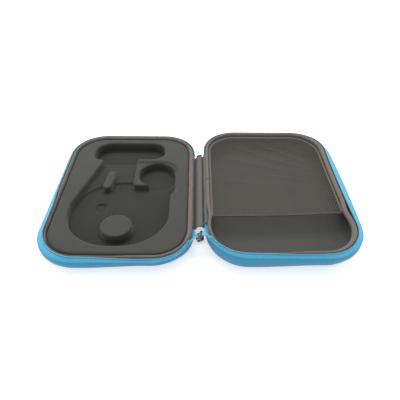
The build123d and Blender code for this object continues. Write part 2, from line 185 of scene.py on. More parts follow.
def clothMaterial(name, given):
    # Woven or knitted threads: the pattern gives a fine grain, and slow patches keep the colour
    # from looking printed.
    cloth = usualCloth | given
    material, tree, shader = newMaterial(name)
    place = addNode(tree, "ShaderNodeTexCoord")
    unit = 1.0 if cloth["map"] else 1000.0  # the maps are in millimetres, the objects in metres
    turned = addNode(
        tree, "ShaderNodeMapping",
        {
            "Vector": place.outputs["UV" if cloth["map"] else "Object"],
            "Rotation": (0, 0, math.radians(cloth["turn"])),
            "Scale": (*(2 * math.pi * unit / spacing for spacing in cloth["thread"]), unit),
        },
    )
    axes = addNode(tree, "ShaderNodeSeparateXYZ", {"Vector": turned.outputs[0]})
    waves = [mathNode(tree, "SINE", axes.outputs[i]) for i in (0, 1)]
    crossed = mathNode(tree, "ADD" if cloth["ribbed"] else "MULTIPLY", *waves)
    grain = rangeNode(tree, crossed, 0.0, 1.0, -1.0, 1.0)
    patches = noiseNode(tree, place, 1000.0 / cloth["patch"], 4.0)
    fuzz = noiseNode(tree, place, 1000.0 / cloth["fuzz"], 3.0)
    level = mathNode(
        tree, "MULTIPLY",
        rangeNode(tree, grain, 1.0 - cloth["grain"], 1.0 + cloth["grain"]),
        rangeNode(tree, fuzz, 1.0 - cloth["fleck"], 1.0 + cloth["fleck"], 0.3, 0.7),
    )
    tone = toneNode(tree, patches, cloth["dark"], cloth["light"])
    bump = addNode(
        tree, "ShaderNodeBump",
        {"Height": mathNode(tree, "ADD", grain, fuzz), "Strength": cloth["bump"],
         "Distance": cloth["thread"][0] * cloth["relief"] * mm},
    )
    fillNode(tree, shader, {
        "Base Color": scaledNode(tree, tone, level), "Normal": bump.outputs[0],
        "Roughness": cloth["roughness"], "Specular IOR Level": cloth["specular"],
        "Sheen Weight": cloth["sheen"], "Sheen Roughness": 0.5,
    })
    return material


finishes = {
    # Polyester oxford cloth laminated to moulded foam: even, slightly glossy, fine plain weave.
    "shellOxford": {
        "dark": "3891b9", "light": "449dc4", "thread": (0.9, 0.9), "grain": 0.08,
        "roughness": 0.62, "sheen": 0.1, "patch": 30.0, "bump": 0.35,
    },
    # Woven polyester zipper tape: ribs that stand across it.
    "tapeRibbed": {
        "dark": "49afd8", "light": "58bbe3", "thread": (2.86, 40.0), "ribbed": True, "grain": 0.2,
        "roughness": 0.7, "bump": 0.6,
    },
    # Bias binding of brushed polyester: soft, matt, brown-grey, with a fine twill.
    "bindingBrushed": {
        "dark": "69625b", "light": "79726a", "thread": (0.8, 0.8), "turn": 45, "grain": 0.1,
        "roughness": 0.9, "sheen": 0.25, "patch": 9.0, "fleck": 0.1,
    },
    # Foam faced with a smooth brushed knit: dull dark grey, lighter where the light grazes it.
    "trayBrushedFoam": {
        "dark": "3f403c", "light": "484944", "thread": (0.7, 0.7), "map": False, "grain": 0.05,
        "roughness": 0.86, "sheen": 0.2, "patch": 40.0, "fleck": 0.07, "bump": 0.3,
    },
    # Thin knit that lines the shells.
    "liningKnit": {
        "dark": "494a46", "light": "52534e", "thread": (0.8, 0.8), "grain": 0.08,
        "roughness": 0.88, "sheen": 0.2, "patch": 35.0,
    },
    # Plain grey-brown cloth of the hinge.
    "hingeCloth": {
        "dark": "64605b", "light": "706c66", "thread": (0.9, 0.9), "grain": 0.1,
        "roughness": 0.88, "sheen": 0.2, "patch": 12.0, "fleck": 0.1,
    },
    # Knitted polyester net: thin filaments, a little shinier than the cloth.
    "netKnit": {
        "dark": "5b5650", "light": "666159", "thread": (0.6, 0.6), "map": False, "grain": 0.05,
        "roughness": 0.6, "sheen": 0.1,
    },
    # Folded tape at the net's edges.
    "edgingTape": {
        "dark": "645f58", "light": "716c65", "thread": (0.8, 0.8), "grain": 0.12,
        "roughness": 0.9, "sheen": 0.2, "patch": 10.0,
    },
    # The same tape where it stands on edge along the pocket's mouth, painted darker as shade.
    "hemTapePaintedShade": {
        "dark": "48443f", "light": "524e48", "thread": (0.8, 0.8), "grain": 0.12,
        "roughness": 0.9, "sheen": 0.2, "patch": 10.0,
    },
    # The filler cord inside the coil, which the turns keep in shade.
    # The cord inside the coil: its dark colour is painted shade in the gaps between the turns.
    "cordPaintedShade": {
        "dark": "1b4152", "light": "234f63", "thread": (0.7, 0.7), "grain": 0.2, "roughness": 0.9,
    },
    # Polyester sewing thread.
    "threadBlue": {
        "dark": "3a95bd", "light": "45a3cb", "thread": (0.4, 0.4), "map": False, "grain": 0.2,
        "roughness": 0.55,
    },
    "threadGrey": {
        "dark": "5b5852", "light": "6a665f", "thread": (0.4, 0.4), "map": False, "grain": 0.2,
        "roughness": 0.6,
    },
}
cloths = {name: clothMaterial(name, cloth) for name, cloth in finishes.items()}


def paintedHollowShade(material, low, high, least):
    # Painted shade: the colour is darkened by height, full at high and down to least at low and
    # below, so the floors of hollows look shaded.
    tree = material.node_tree
    colour = tree.nodes["Principled BSDF"].inputs["Base Color"]
    place = addNode(tree, "ShaderNodeTexCoord").outputs["Object"]
    paintedLight = rangeNode(tree, heightNode(tree, place), least, 1.0, low * mm, high * mm)
    tree.links.new(scaledNode(tree, colour.links[0].from_socket, paintedLight), colour)


# Painted shade in the tray's recesses: darker the deeper below the top.
paintedHollowShade(cloths["trayBrushedFoam"], 15.0, 26.5, 0.44)
# Painted shade in the hinge strip's valleys: darker the lower the cloth lies.
paintedHollowShade(cloths["hingeCloth"], 24.6, 28.8, 0.34)


def nylonMaterial(name, shade, paintedLight):
    # Drawn nylon filament: smooth, half matt, with paler patches placed by noise as painted glints.
    material, tree, shader = newMaterial(name)
    glintPatches = noiseNode(tree, addNode(tree, "ShaderNodeTexCoord"), 260.0, 3.0)
    fillNode(tree, shader, {
        "Base Color": toneNode(tree, glintPatches, shade, paintedLight),
        "Roughness": rangeNode(tree, glintPatches, 0.32, 0.5), "IOR": 1.53,
    })
    return material


def smallMetal(name, shade, wearAndHighlight, metallic, roughness):
    # Small metal parts, enamelled or bare: smooth, and paler in noise patches, which are a lighter
    # tone on the pull and stops and a painted highlight on the slider.
    material, tree, shader = newMaterial(name)
    place = addNode(tree, "ShaderNodeTexCoord")
    wearAndHighlightMask = rangeNode(tree, noiseNode(tree, place, 420.0, 5.0), 0.0, 1.0, 0.48, 0.68)
    fine = noiseNode(tree, place, 2600.0, 2.0)
    bump = addNode(tree, "ShaderNodeBump", {"Height": fine, "Strength": 0.15, "Distance": 0.00005})
    fillNode(tree, shader, {
        "Base Color": toneNode(tree, wearAndHighlightMask, shade, wearAndHighlight), "Normal": bump.outputs[0],
        "Roughness": rangeNode(tree, fine, roughness - 0.06, roughness + 0.1),
        "Metallic": metallic,
    })
    return material


# The coil's paler colour is a painted glint.
coilNylon = nylonMaterial("coilNylon", "6fc0df", "a5dbee")
# The slider's pale beige patches are a painted highlight, for the light its wing catches.
sliderEnamel = smallMetal("sliderEnamelledZinc", "2a2c2d", "a79f8e", 0.0, 0.33)
pullEnamel = smallMetal("pullEnamelledZinc", "2b2d2f", "3a3c3e", 0.0, 0.35)
stopAluminium = smallMetal("stopRolledAluminium", "a9aaa8", "c4c5c3", 1.0, 0.35)
print("finishes made:", len(bpy.data.materials))


# ---- the plan that every rim piece follows ----
def smooth(t):
    t = min(max(t, 0.0), 1.0)
    return t * t * (3 - 2 * t)


def stations(coarse, fine, start=0.0, stop=None):
    # Round the outline from the middle of the hinge side by the far end. Each station is the
    # distance gone, the point of the inner rectangle that it turns about, and its direction out.
    halfL = case["length"] / 2 - case["corner"]
    turn = case["corner"] * math.pi / 2
    corners = [(coreReach, halfL), (-coreReach, halfL), (-coreReach, -halfL), (coreReach, -halfL)]
    legs = [(coreReach, 0), *corners, (coreReach, 0)]
    found = []
    gone = 0.0

    def facing(degrees):
        angle = math.radians(degrees)
        return Vector((math.cos(angle), math.sin(angle)))

    for leg, (a, b) in enumerate(zip(legs, legs[1:])):
        long = math.dist(a, b)
        count = max(1, round(long / coarse))
        for t in (i / count for i in range(count)):
            found.append((gone + long * t, Vector(a).lerp(Vector(b), t), facing(90 * leg)))
        gone += long
        if leg == len(corners):
            break
        count = max(2, round(turn / fine))
        for i in range(count):
            out = facing(90 * leg + 90 * i / count)
            found.append((gone + turn * i / count, Vector(b), out))
        gone += turn
    found.append((gone, Vector((coreReach, 0)), Vector((1, 0))))
    stop = gone if stop is None else stop
    return [s for s in found if start - 1e-6 <= s[0] <= stop + 1e-6]


def planPoint(station, inset, side, lean=0.0):
    # side -1 is the base, whose hinge side looks to +X. A lean of 0 is the rim's plan and one of
    # 1 the shell's.
    gone, core, out = station
    sideways = case["sideLean"] / 2
    spread = core.x / coreReach
    p = core - Vector((sideways + spread * (case["endLean"] - sideways), 0)) * lean
    p += out * (case["corner"] + case["endLean"] * lean - inset)
    if side > 0:
        bow = max(0.0, 1 - (p.y / case["bowReach"]) ** 2)
        p -= Vector((case["sideBow"] * lean * smooth(-out.x) * bow, 0))
    return Vector((-halfMiddle + p.x, p.y)) if side < 0 else Vector((halfMiddle - p.x, p.y))


softRim = {
    "nearFrom": 0.5, "slumpSpread": 1.15, "baseDrawnFrom": 45.0, "baseDrawnInset": 2.3,
    "baseDrawnFade": 4.2, "lidDrawnReach": 118.0,
}


def rimPoint(station, side, inset, z, lean=0.0, share=1.0):
    # A point of the soft rim: slumped, tucked and drawn in as the halves say.
    facts = halves["base" if side < 0 else "lid"]
    gone, core, out = station
    near = smooth((-out.y - softRim["nearFrom"]) / (1 - softRim["nearFrom"]))
    reach = core.x / coreReach
    near *= math.exp(-(((reach - facts["slumpAt"]) / softRim["slumpSpread"]) ** 2))
    height = min(max((z - facts["top"]) / (facts["teethLow"] - facts["top"]), 0.0), 1.0)
    y = planPoint(station, inset, side).y
    if side < 0:
        drawn = smooth(-y / softRim["baseDrawnFrom"])
        drawn *= 1 - smooth((inset - softRim["baseDrawnInset"]) / softRim["baseDrawnFade"])
    else:
        drawn = max(0.0, 1 - (y / softRim["lidDrawnReach"]) ** 2)
    inset += facts["drawn"] * drawn * smooth(-out.x) * height
    outward, down = (amount * near * height * share for amount in facts["slump"])
    return planPoint(station, inset - outward, side, lean).to_3d() + Vector((0, 0, z - down))


roundLength = stations(5, 5)[-1][0]


def goneAt(y, near):
    # How far round the outline a place beside the hinge is, by its Y.
    halfL = case["length"] / 2 - case["corner"]
    if abs(y) <= halfL:
        gone = abs(y)
    else:
        gone = halfL + case["corner"] * math.asin((abs(y) - halfL) / case["corner"])
    return roundLength - gone if near else gone


def makeMesh(name, rings, us, vs, closedRound, closedProfile, caps=""):
    # rings[i][j] is the point at station i and profile place j, in millimetres. The map holds
    # the distance round and the distance across, in millimetres too.
    shape = bmesh.new()
    layer = shape.loops.layers.uv.new("map")
    rows = [[shape.verts.new(p * mm) for p in ring] for ring in rings]
    count = len(rows) if closedRound else len(rows) - 1
    width = len(rows[0]) if closedProfile else len(rows[0]) - 1
    for i in range(count):
        nextRow = rows[(i + 1) % len(rows)]
        for j in range(width):
            k = (j + 1) % len(rows[0])
            face = shape.faces.new((rows[i][j], nextRow[j], nextRow[k], rows[i][k]))
            for loop, (a, b) in zip(face.loops, ((i, j), (i + 1, j), (i + 1, j + 1), (i, j + 1))):
                loop[layer].uv = (us[a], vs[b])
    if "ends" in caps:
        for row in (rows[0], rows[-1]):
            shape.faces.new(row)

    def mapFlat(face):
        for loop in face.loops:
            loop[layer].uv = loop.vert.co.xy / mm

    for j in (0, len(rows[0]) - 1) if "floor" in caps else ():
        edge = rim = [row[j] for row in rows]
        centre = sum((v.co for v in rim), Vector()) / len(rim)
        for keep in (0.75, 0.45, 0.15):
            inner = [shape.verts.new(centre + (v.co - centre) * keep) for v in rim]
            for i in range(len(rim)):
                k = (i + 1) % len(rim)
                mapFlat(shape.faces.new((edge[i], edge[k], inner[k], inner[i])))
            edge = inner
        hub = shape.verts.new(centre)
        for i in range(len(rim)):
            mapFlat(shape.faces.new((edge[i], edge[(i + 1) % len(rim)], hub)))
    if closedProfile and closedRound or caps:
        bmesh.ops.recalc_face_normals(shape, faces=shape.faces)
    return finishMesh(name, shape)


def finishMesh(name, shape, sharp=40):
    mesh = bpy.data.meshes.new(name)
    shape.to_mesh(mesh)
    shape.free()
    mesh.shade_smooth()
    mesh.set_sharp_from_angle(angle=math.radians(sharp))
    piece = bpy.data.objects.new(name, mesh)
    scene.collection.objects.link(piece)
    return piece


def dress(piece, material, body, slotName, *replaced):
    piece.data.materials.clear()
    piece.data.materials.append(material)
    if body:
        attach(piece, body)
    if replaced:
        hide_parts(*replaced)
    return piece


def lengths(points):
    gone = [0.0]
    for a, b in zip(points, points[1:]):
        gone.append(gone[-1] + (Vector(b) - Vector(a)).length)
    return gone


def openBand(name, rings, profile=None):
    # A band with closed ends whose rings are already in place.
    profile = profile or rings[0]
    us = lengths([ring[0] for ring in rings])
    return makeMesh(name, rings, us, lengths([*profile, profile[0]]), False, True, "ends")


def baked(piece):
    bpy.context.view_layer.update()
    done = piece.evaluated_get(bpy.context.evaluated_depsgraph_get())
    return bpy.data.meshes.new_from_object(done)


def bandAlong(name, side, profile, coarse, fine, start=0.0, stop=None, move=None, share=1.0):
    # Sweeps a profile of (inset, height), or (inset, height, lean), along the outline, whole or
    # in part.
    whole = stop is None
    found = stations(coarse, fine, start, stop)
    if whole:
        found = found[:-1]
    rings = []
    for s in found:
        ring = []
        for inset, z, *lean in profile:
            if move:
                inset, z = move(s, inset, z)
            ring.append(rimPoint(s, side, inset, z, *(lean or [0.0]), share))
        rings.append(ring)
    us = [s[0] for s in found] + [roundLength]
    vs = lengths([place[:2] for place in (*profile, profile[0])])
    return makeMesh(name, rings, us, vs, whole, True, "" if whole else "ends")


def smoothLine(points, count):
    # A Catmull-Rom curve through the points, evenly spread.
    points = [Vector(p) for p in points]
    ends = [points[0] * 2 - points[1]] + points + [points[-1] * 2 - points[-2]]
    dense = []
    for i in range(len(points) - 1):
        a, b, c, d = ends[i : i + 4]
        for k in range(24):
            t = k / 24
            dense.append(
                0.5 * ((2 * b) + (c - a) * t + (2 * a - 5 * b + 4 * c - d) * t * t
                       + (3 * b - a - 3 * c + d) * t * t * t)
            )
    dense.append(points[-1])
    gone = lengths(dense)
    made = []
    k = 0
    for i in range(count):
        goal = gone[-1] * i / (count - 1)
        while k < len(gone) - 2 and gone[k + 1] < goal:
            k += 1
        t = (goal - gone[k]) / max(gone[k + 1] - gone[k], 1e-9)
        made.append(dense[k].lerp(dense[k + 1], t))
    return made


# ---- what repeats: coil teeth, stitches and net cells are Geometry Nodes ----
def newTree(name, sizes):
    tree = bpy.data.node_groups.new(name, "GeometryNodeTree")
    sockets = tree.interface
    sockets.new_socket("Geometry", in_out="INPUT", socket_type="NodeSocketGeometry")
    keys = {
        size: sockets.new_socket(size, in_out="INPUT", socket_type="NodeSocketFloat").identifier
        for size in sizes
    }
    sockets.new_socket("Geometry", in_out="OUTPUT", socket_type="NodeSocketGeometry")
    return tree, addNode(tree, "NodeGroupInput"), keys


def closeTree(tree, shape, material):
    real = addNode(tree, "GeometryNodeRealizeInstances", {"Geometry": shape})
    tinted = addNode(
        tree, "GeometryNodeSetMaterial", {"Geometry": real.outputs[0], "Material": material}
    )
    out = addNode(tree, "NodeGroupOutput")
    tree.links.new(tinted.outputs[0], out.inputs[0])


def grown(name, source, tree, keys, sizes):
    # Runs the tree on a source mesh and keeps the result as a plain piece. Sizes are in
    # millimetres.
    holder = bpy.data.objects.new(name + "Source", source)
    scene.collection.objects.link(holder)
    modifier = holder.modifiers.new("nodes", "NODES")
    modifier.node_group = tree
    for size, value in sizes.items():
        modifier[keys[size]] = value * mm
    mesh = baked(holder)
    bpy.data.objects.remove(holder)
    mesh.shade_smooth()
    piece = bpy.data.objects.new(name, mesh)
    scene.collection.objects.link(piece)
    return piece


def pathMesh(name, lines):
    # Open lines of points in millimetres, as a mesh of edges.
    mesh = bpy.data.meshes.new(name)
    verts = []
    edges = []
    for line in lines:
        first = len(verts)
        verts.extend(Vector(p) * mm for p in line)
        edges.extend((first + i, first + i + 1) for i in range(len(line) - 1))
    mesh.from_pydata(verts, edges, [])
    return mesh


def tubeNode(tree, curve, radius, caps):
    ring = addNode(tree, "GeometryNodeCurvePrimitiveCircle", {"Resolution": 5, "Radius": radius})
    made = addNode(
        tree, "GeometryNodeCurveToMesh",
        {"Curve": curve, "Profile Curve": ring.outputs[0], "Fill Caps": caps},
    )
    return made.outputs[0]


def rowTree(name, sizes, shapeOf, material):
    # Sets one shape at every pitch of a path, with its X along the path.
    tree, given, keys = newTree(name, ("Pitch", *sizes))
    line = addNode(tree, "GeometryNodeMeshToCurve", {"Mesh": given.outputs["Geometry"]})
    spaced = addNode(
        tree, "GeometryNodeCurveToPoints",
        {"Curve": line.outputs[0], "Length": given.outputs["Pitch"]}, mode="LENGTH",
    )
    turned = addNode(
        tree, "FunctionNodeAlignRotationToVector", {"Vector": spaced.outputs["Tangent"]}, axis="X"
    )
    placed = addNode(
        tree, "GeometryNodeInstanceOnPoints",
        {"Points": spaced.outputs["Points"], "Instance": shapeOf(tree, given.outputs),
         "Rotation": turned.outputs[0]},
    )
    closeTree(tree, placed.outputs[0], material)
    return tree, keys


def coilTurn(tree, given):
    # One turn of nylon filament for each tooth, wound round the tape's edge.
    turn = addNode(
        tree, "GeometryNodeCurveSpiral",
        {"Resolution": 9, "Rotations": 1.0, "Start Radius": 0.5, "End Radius": 0.5,
         "Height": given["Pitch"]},
    )
    size = addNode(
        tree, "ShaderNodeCombineXYZ", {"X": given["Height"], "Y": given["Width"], "Z": 1.0}
    )
    shaped = addNode(
        tree, "GeometryNodeTransform", {"Geometry": turn.outputs[0], "Scale": size.outputs[0]}
    )
    laid = addNode(
        tree, "GeometryNodeTransform",
        {"Geometry": shaped.outputs[0], "Rotation": (0, math.radians(90), 0)},
    )
    return tubeNode(tree, laid.outputs[0], given["Wire"], False)


def stitchBow(tree, given):
    # Each stitch is a short bowed thread that dips into the cloth at both ends.
    ends = [
        addNode(tree, "ShaderNodeCombineXYZ", {"X": mathNode(tree, "MULTIPLY", given["Stitch"], x)})
        for x in (-0.5, 0.5)
    ]
    middle = addNode(tree, "ShaderNodeCombineXYZ", {"Z": given["Rise"]})
    bow = addNode(
        tree, "GeometryNodeCurveQuadraticBezier",
        {"Resolution": 5, "Start": ends[0].outputs[0], "Middle": middle.outputs[0],
         "End": ends[1].outputs[0]},
    )
    return tubeNode(tree, bow.outputs[0], given["Thread"], True)


coilNodes, coilKeys = rowTree("coilTeeth", ("Wire", "Height", "Width"), coilTurn, coilNylon)
(blueStitch, blueKeys), (greyStitch, greyKeys) = (
    rowTree(name + "Stitches", ("Stitch", "Rise", "Thread"), stitchBow, cloths[thread])
    for name, thread in (("blue", "threadBlue"), ("grey", "threadGrey"))
)


# ---- shells: moulded foam board with cloth laminated to it ----
shellShape = {
    "roll": 0.8, "waviness": 0.25, "waveScale": 0.03, "outerPlaces": 17, "freeTop": 6.0,
    "freeFloor": 3.0, "tuckFrom": 0.4, "tuckHigh": 9.0, "tuckSpread": 75.0,
}
walls = stations(5.0, 2.6)[:-1]
wallMap = [s[0] for s in walls] + [roundLength]


def bottomArc(inset, low, edge, count, down):
    # The quarter ellipse from the upright wall to the flat bottom.
    across = case["edgeInset"] - inset
    high = edge - low
    steps = [math.radians(90 * i / count) for i in range(count + 1)]
    arc = [(case["edgeInset"] - across * math.cos(a), edge - high * math.sin(a)) for a in steps]
    return arc if down else arc[::-1]


for half, facts in halves.items():
    top, edge, wall, roll = facts["top"], facts["edge"], case["wall"], shellShape["roll"]
    side = facts["side"]
    profile = bottomArc(0.0, 0.0, edge, 14, False)
    profile += [(0.0, edge + (top - edge) * 0.5), (0.0, top - roll), (roll * 0.3, top - roll * 0.3)]
    profile += [(roll, top), (wall - roll, top), (wall, top - roll)]
    profile += bottomArc(wall, wall, edge, 10, True)
    rings = []
    for s in walls:
        ring = []
        tucked = smooth((-s[2].y - shellShape["tuckFrom"]) / (1 - shellShape["tuckFrom"]))
        tucked *= smooth(0.5 - side * s[1].x / shellShape["tuckSpread"]) * facts["tuck"]
        for j, (inset, z) in enumerate(profile):
            if j < shellShape["outerPlaces"]:
                p = planPoint(s, inset, side, 1.0)
                place = Vector((p.x, p.y, z)) * shellShape["waveScale"]
                wave = noise.noise(place) * shellShape["waviness"]
                wave *= min(1.0, abs(z - top) / shellShape["freeTop"])
                wave *= min(1.0, z / shellShape["freeFloor"])
                inset += wave + tucked * smooth((edge + 1 - z) / shellShape["tuckHigh"])
            ring.append(planPoint(s, inset, side, 1.0).to_3d() + Vector((0, 0, z)))
        rings.append(ring)
    shell = makeMesh(half + "ShellCloth", rings, wallMap, lengths(profile), True, False, "floor")
    dress(shell, cloths["shellOxford"], half, "shell_fabric", half + "_shell")
print("shells made")

# ---- linings ----
lining = {"clear": 0.3, "thick": 0.8}
for half, facts in halves.items():
    outer = case["wall"] + lining["clear"]
    inner = outer + lining["thick"]
    top, edge = facts["top"], facts["edge"]
    profile = bottomArc(outer, outer, edge, 10, False) + [(outer, top), (inner, top)]
    profile += bottomArc(inner, inner, edge, 10, True)
    rings = [
        [planPoint(s, i, facts["side"], 1.0).to_3d() + Vector((0, 0, z)) for i, z in profile]
        for s in walls
    ]
    lined = makeMesh(half + "Lining", rings, wallMap, lengths(profile), True, False, "floor")
    dress(lined, cloths["liningKnit"], half, "lining_fabric", half + "_lining")
print("linings made")

# ---- zipper tapes and coils on the rims ----
zipRow = {
    "tapeThick": 1.2, "seam": 0.35, "pitch": 2.86, "wire": 0.56, "bulge": 0.35, "coilWide": 2.0,
    "coilInset": 0.95, "coilFrom": 4.2, "cordFrom": 4.5,
}

for half, facts in halves.items():
    side, top = facts["side"], facts["top"]
    low, high = facts["teethLow"], facts["teethHigh"]
    start = goneAt(case["stripFar"] + 0.3, False)
    stop = goneAt(case["tailStart"], True)
    seam, thick, bulge = zipRow["seam"], zipRow["tapeThick"], zipRow["bulge"]
    rise = low - top
    profile = [
        (seam, top - 0.1, 1.0), (-0.1, top + seam, 0.95), (-bulge, top + rise * 0.35, 0.65),
        (-bulge, top + rise * 0.7, 0.3), (0.0, low - 0.35, 0.06), (0.4, low + 0.05, 0.0),
        (thick + 0.2, low, 0.0), (thick, low - 0.8, 0.14), (thick, top + rise * 0.4, 0.6),
        (thick, top + 0.05, 1.0),
    ]
    tape = bandAlong(half + "ZipTape", side, profile, 4.0, 2.2, start, stop)
    dress(tape, cloths["tapeRibbed"], half, "zip_tape", half + "_zip_tape")
    line = [
        rimPoint(s, side, zipRow["coilInset"], (low + high) / 2)
        for s in stations(3.0, 1.5, goneAt(case["rowFar"] + zipRow["coilFrom"], False), stop)
    ]
    coil = grown(
        half + "ZipCoil", pathMesh("rimLine", [line]), coilNodes, coilKeys,
        {"Pitch": zipRow["pitch"], "Wire": zipRow["wire"],
         "Height": high - low - 2 * zipRow["wire"],
         "Width": zipRow["coilWide"] - 2 * zipRow["wire"]},
    )
    dress(coil, coilNylon, half, "zip_coil", half + "_zip_teeth")
    profile = [(0.5, low - 0.1), (0.45, high - 1.0), (0.95, high - 0.7), (1.5, high - 1.0),
               (1.5, low - 0.1)]
    # A dark cord inside the coil, set as painted shade that shows between the turns.
    cord = bandAlong(
        half + "ShadeCord", side, profile, 4.0, 2.2,
        goneAt(case["rowFar"] + zipRow["cordFrom"], False), stop,
    )
    dress(cord, cloths["cordPaintedShade"], half, "zip_coil")
    line = [
        rimPoint(s, side, -0.3, top + rise * 0.24, 0.76)
        for s in stations(3.0, 1.5, start + 1, stop)
    ]
    sewn = grown(
        half + "TapeStitches", pathMesh("seamLine", [line]), blueStitch, blueKeys,
        {"Pitch": 3.0, "Stitch": 2.4, "Rise": 0.0, "Thread": 0.17},
    )
    dress(sewn, cloths["threadBlue"], half, "zip_tape")
print("zipper rows made")


def hemAt(x):
    # Where the pocket's mouth is at this X.
    return case["hemLine"] + case["hemSkew"] * (x - halfMiddle) / case["hemRun"]


edgingStart = goneAt(hemAt(case["halfGap"]), True)
edgingStop = roundLength / 2 - hemAt(case["halfGap"] + case["width"])

# ---- bindings: a soft roll over each rim's inner seam ----
bindingRoll = {
    "inset": 2.3, "width": 4.2, "power": 2.5, "places": 20, "rumple": 0.34, "rumpleScale": 0.055,
    "crease": 0.16, "creaseScale": 0.21, "sinkFrom": 0.25, "sinkOver": 0.5, "slumpShare": 0.4,
    "pinch": 1.8, "pinchDown": 0.5, "pinchLong": 13.0,
}
# The roll is wider along one side, and sinks and narrows behind the teeth of the near side.
rollChange = {
    "base": {"wider": 1.6, "widerFrom": 0.8, "sunk": 1.4, "narrower": 1.1},
    "lid": {"wider": 2.6, "widerFrom": 0.0, "sunk": 4.2, "narrower": 1.6},
}
# The butt seam where the lid's roll is joined: a dip with a low lip at each side.
buttSeam = {
    "at": 6.0, "reach": 3.2, "dip": 0.95, "lip": 0.4, "lipAt": 2.0, "spread": 0.8, "narrowed": 0.4,
    "lowered": 0.3,
}


def rollProfile(low, high):
    # A superellipse, from its outer side over its top to its inner side.
    inset, width, power, places = (bindingRoll[k] for k in ("inset", "width", "power", "places"))
    made = []
    for i in range(places):
        a = 2 * math.pi * i / places
        c, s = math.cos(a), math.sin(a)
        made.append((
            inset + width / 2 - width / 2 * math.copysign(abs(c) ** (2 / power), c),
            (low + high) / 2 + (high - low) / 2 * math.copysign(abs(s) ** (2 / power), s),
        ))
    return made


def bump(distance, spread):
    return math.exp(-((distance / spread) ** 2))


for half, facts in halves.items():
    side = facts["side"]
    low, high = facts["bindingLow"], facts["bindingHigh"]
    middle = (low + high) / 2
    waist = bindingRoll["inset"] + bindingRoll["width"] / 2
    change = rollChange[half]

    def rumpled(s, inset, z):
        p = planPoint(s, inset, side)
        place = Vector((p.x, p.y, z))
        swell = noise.noise(place * bindingRoll["rumpleScale"]) * bindingRoll["rumple"]
        place = place * bindingRoll["creaseScale"] + Vector((7, 1, 3))
        swell += noise.noise(place) * bindingRoll["crease"]
        away = Vector((inset - waist, z - middle))
        away = away.normalized() * swell
        inset, z = inset + away.x, z + away.y
        # Along the near side it sinks behind the teeth, most at the left.
        reach = s[1].x / coreReach * side
        sunk = smooth((-s[2].y - bindingRoll["sinkFrom"]) / bindingRoll["sinkOver"])
        sunk = sunk * (0.2 + 0.8 * smooth(0.5 + reach * 0.6))
        z -= change["sunk"] * sunk
        if inset > waist:
            facing = (-s[2].x * side - change["widerFrom"]) / (1 - change["widerFrom"])
            inset += change["wider"] * smooth(facing) - change["narrower"] * sunk
        if half == "lid":
            for goal in (edgingStart, edgingStop):
                near = bump(s[0] - goal, bindingRoll["pinchLong"])
                inset += bindingRoll["pinch"] * near
                z -= bindingRoll["pinchDown"] * near
            seam = abs(s[0] - goneAt(buttSeam["at"], False))
            if seam < buttSeam["reach"]:
                dip = buttSeam["dip"] * bump(seam, buttSeam["spread"])
                dip -= buttSeam["lip"] * bump(seam - buttSeam["lipAt"], buttSeam["spread"])
                inset += (waist - inset) * dip * buttSeam["narrowed"]
                z += (middle - z) * dip * buttSeam["lowered"]
        return inset, z

    roll = bandAlong(
        half + "BindingRoll", side, rollProfile(low, high), 1.6, 1.6, move=rumpled,
        share=bindingRoll["slumpShare"],
    )
    dress(roll, cloths["bindingBrushed"], half, "binding_fabric", half + "_binding")
print("bindings made")

# ---- foam tray: the moulded block, its edges softened by the cloth that faces it ----
traySkin = {
    "voxel": 1.15, "rounds": 5, "strength": 0.5,
    "groove": 1.5, "grooveAbove": 23.5, "grooveFrom": -24.0, "grooveLong": 8.0,
}
block = bmesh.new()
block.from_mesh(cad["foam_tray"].data)
bmesh.ops.remove_doubles(block, verts=block.verts, dist=0.00001)
tray = finishMesh("foamTray", block, 180)
voxels = tray.modifiers.new("voxels", "REMESH")
voxels.mode = "VOXEL"
voxels.voxel_size = traySkin["voxel"] * mm
voxels.use_smooth_shade = True
settle = tray.modifiers.new("settle", "SMOOTH")
settle.factor = traySkin["strength"]
settle.iterations = traySkin["rounds"]
softened = baked(tray)
tray.modifiers.clear()
tray.data = softened
tray.data.shade_smooth()
for v in tray.data.vertices:
    if v.co.z > traySkin["grooveAbove"] * mm:
        along = smooth((v.co.x / mm - traySkin["grooveFrom"]) / traySkin["grooveLong"])
        v.co.x -= traySkin["groove"] * mm * along
dress(tray, cloths["trayBrushedFoam"], "base", "tray_foam", "foam_tray")
print("tray made:", len(tray.data.polygons), "faces")

# ---- net pocket in the lid ----
netShape = {
    "pitch": 3.7, "hole": 3.0, "thick": 0.4, "sag": 2.4, "inset": 6.9, "edging": 2.5,
    "edgingInset": 7.5, "narrow": 3.4, "ripple": 1.1, "ridges": 52, "fanX": 70, "fanY": -20,
    "areaShare": 0.6,  # of its rectangle: chosen, not measured
}
netBox, hemBox = boxOf("mesh_panel"), boxOf("mesh_hem")
netHeight = netBox[5]


def netDepth(x, y):
    # The net hangs a little in the middle, and narrow ridges fan from its right side, where it
    # is pulled tightest.
    u = (x - netBox[0]) / (netBox[3] - netBox[0])
    v = (y - netBox[1]) / (netBox[4] - netBox[1])
    held = math.sin(math.pi * min(max(u, 0), 1)) * math.sin(math.pi * min(max(v, 0), 1) ** 0.8)
    angle = math.atan2(y - netShape["fanY"], netBox[3] + netShape["fanX"] - x)
    drift = noise.noise(Vector((x * 0.4, y, 0)) * 0.02)
    ripple = (0.5 + 0.5 * math.sin(angle * netShape["ridges"] + 1.6 * drift)) ** 3
    loose = min(1.0, held * 2.2) * smooth(v * 1.6 - 0.15)
    sag = netShape["sag"] * held
    sag += 0.5 * noise.noise(Vector((x, y, 4)) * 0.025) * held
    return sag - netShape["ripple"] * ripple * loose


def insideNet(x, y, inset):
    r = case["corner"] - inset
    dx = abs(x - halfMiddle) - (case["width"] / 2 - inset - r)
    dy = abs(y) - (case["length"] / 2 - inset - r)
    outside = math.hypot(max(dx, 0), max(dy, 0))
    toSide = max(dx, 0) / max(outside, 1e-9) if x > halfMiddle else 0
    return outside <= r - netShape["narrow"] * smooth(toSide)


